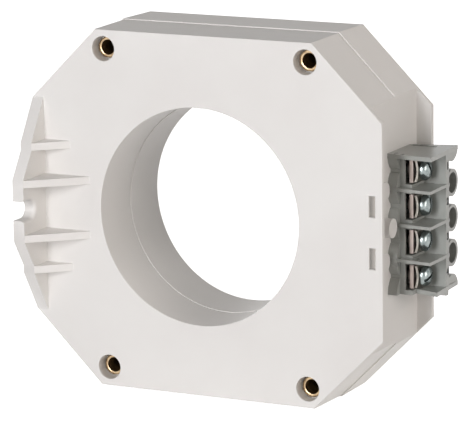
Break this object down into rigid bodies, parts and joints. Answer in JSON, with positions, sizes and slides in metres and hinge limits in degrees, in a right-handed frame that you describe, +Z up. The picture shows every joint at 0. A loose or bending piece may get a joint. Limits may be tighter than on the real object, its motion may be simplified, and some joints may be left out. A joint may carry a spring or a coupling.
{
  "type": "ring current transformer",
  "caption": "Ring core current transformer with a wide round aperture, slotted side lugs, threaded corner sleeves and a barrier strip of screw terminals.",
  "frame": {"origin": "centre of the round aperture on the plane where the front and rear shells part", "axes": "+X to the terminal side, +Y along the aperture from the front face to the rear face, +Z up"},
  "size_m": [0.1345, 0.0675, 0.118],
  "materials": {
    "housing_plastic": "satin moulded polycarbonate, warm light grey",
    "terminal_plastic": "satin moulded polyamide, mid grey",
    "brass": "turned brass, bright",
    "tinned_brass": "stamped brass, dull tin coat",
    "nickel_plate": "stamped steel, nickel plated",
    "zinc_plate": "steel, clear zinc plated",
    "core_steel": "wound strip of soft magnetic alloy",
    "case_plastic": "black moulded polyamide",
    "enamelled_wire": "wound enamelled copper wire",
    "test_wire": "wound enamelled copper wire, amber",
    "cushion_foam": "closed cell foam",
    "lead_insulation": "insulated stranded wire"
  },
  "bodies": {
    "housing": {"front_shell": "housing_plastic", "rear_shell": "housing_plastic", "threaded_sleeve_1": "brass", "threaded_sleeve_2": "brass", "threaded_sleeve_3": "brass", "threaded_sleeve_4": "brass", "strip_wound_core": "core_steel", "core_case_base": "case_plastic", "core_case_lid": "case_plastic", "secondary_winding": "enamelled_wire", "test_winding": "test_wire", "front_pad_top": "cushion_foam", "front_pad_bottom": "cushion_foam", "front_pad_left": "cushion_foam", "rear_pad_top": "cushion_foam", "rear_pad_bottom": "cushion_foam", "rear_pad_left": "cushion_foam", "terminal_block": "terminal_plastic", "terminal_bar_1": "tinned_brass", "lead_wire_1": "lead_insulation", "terminal_bar_2": "tinned_brass", "lead_wire_2": "lead_insulation", "terminal_bar_3": "tinned_brass", "lead_wire_3": "lead_insulation", "terminal_bar_4": "tinned_brass", "lead_wire_4": "lead_insulation", "fixing_screw_1": "zinc_plate", "fixing_screw_2": "zinc_plate"},
    "clamp_1": {"saddle_washer_1": "nickel_plate"},
    "screw_1": {"terminal_screw_1": "zinc_plate"},
    "clamp_2": {"saddle_washer_2": "nickel_plate"},
    "screw_2": {"terminal_screw_2": "zinc_plate"},
    "clamp_3": {"saddle_washer_3": "nickel_plate"},
    "screw_3": {"terminal_screw_3": "zinc_plate"},
    "clamp_4": {"saddle_washer_4": "nickel_plate"},
    "screw_4": {"terminal_screw_4": "zinc_plate"}
  },
  "joints": [
    {"name": "clamp_1_lift", "type": "slide", "parent": "housing", "child": "clamp_1", "axis": [1, 0, 0], "range_m": [-0.0002, 0.0024]},
    {"name": "screw_1_turn", "type": "hinge", "parent": "clamp_1", "child": "screw_1", "pos_m": [0.0688, 0.0013, 0.01695], "axis": [1, 0, 0], "range_deg": [-120, 1440]},
    {"name": "clamp_2_lift", "type": "slide", "parent": "housing", "child": "clamp_2", "axis": [1, 0, 0], "range_m": [-0.0002, 0.0024]},
    {"name": "screw_2_turn", "type": "hinge", "parent": "clamp_2", "child": "screw_2", "pos_m": [0.0688, 0.0013, 0.00565], "axis": [1, 0, 0], "range_deg": [-120, 1440]},
    {"name": "clamp_3_lift", "type": "slide", "parent": "housing", "child": "clamp_3", "axis": [1, 0, 0], "range_m": [-0.0002, 0.0024]},
    {"name": "screw_3_turn", "type": "hinge", "parent": "clamp_3", "child": "screw_3", "pos_m": [0.0688, 0.0013, -0.00565], "axis": [1, 0, 0], "range_deg": [-120, 1440]},
    {"name": "clamp_4_lift", "type": "slide", "parent": "housing", "child": "clamp_4", "axis": [1, 0, 0], "range_m": [-0.0002, 0.0024]},
    {"name": "screw_4_turn", "type": "hinge", "parent": "clamp_4", "child": "screw_4", "pos_m": [0.0688, 0.0013, -0.01695], "axis": [1, 0, 0], "range_deg": [-120, 1440]}
  ],
  "couplings": [
    {"joint": "screw_1_turn", "follows": "clamp_1_lift", "rad_per_m": 10472},
    {"joint": "screw_2_turn", "follows": "clamp_2_lift", "rad_per_m": 10472},
    {"joint": "screw_3_turn", "follows": "clamp_3_lift", "rad_per_m": 10472},
    {"joint": "screw_4_turn", "follows": "clamp_4_lift", "rad_per_m": 10472}
  ]
}
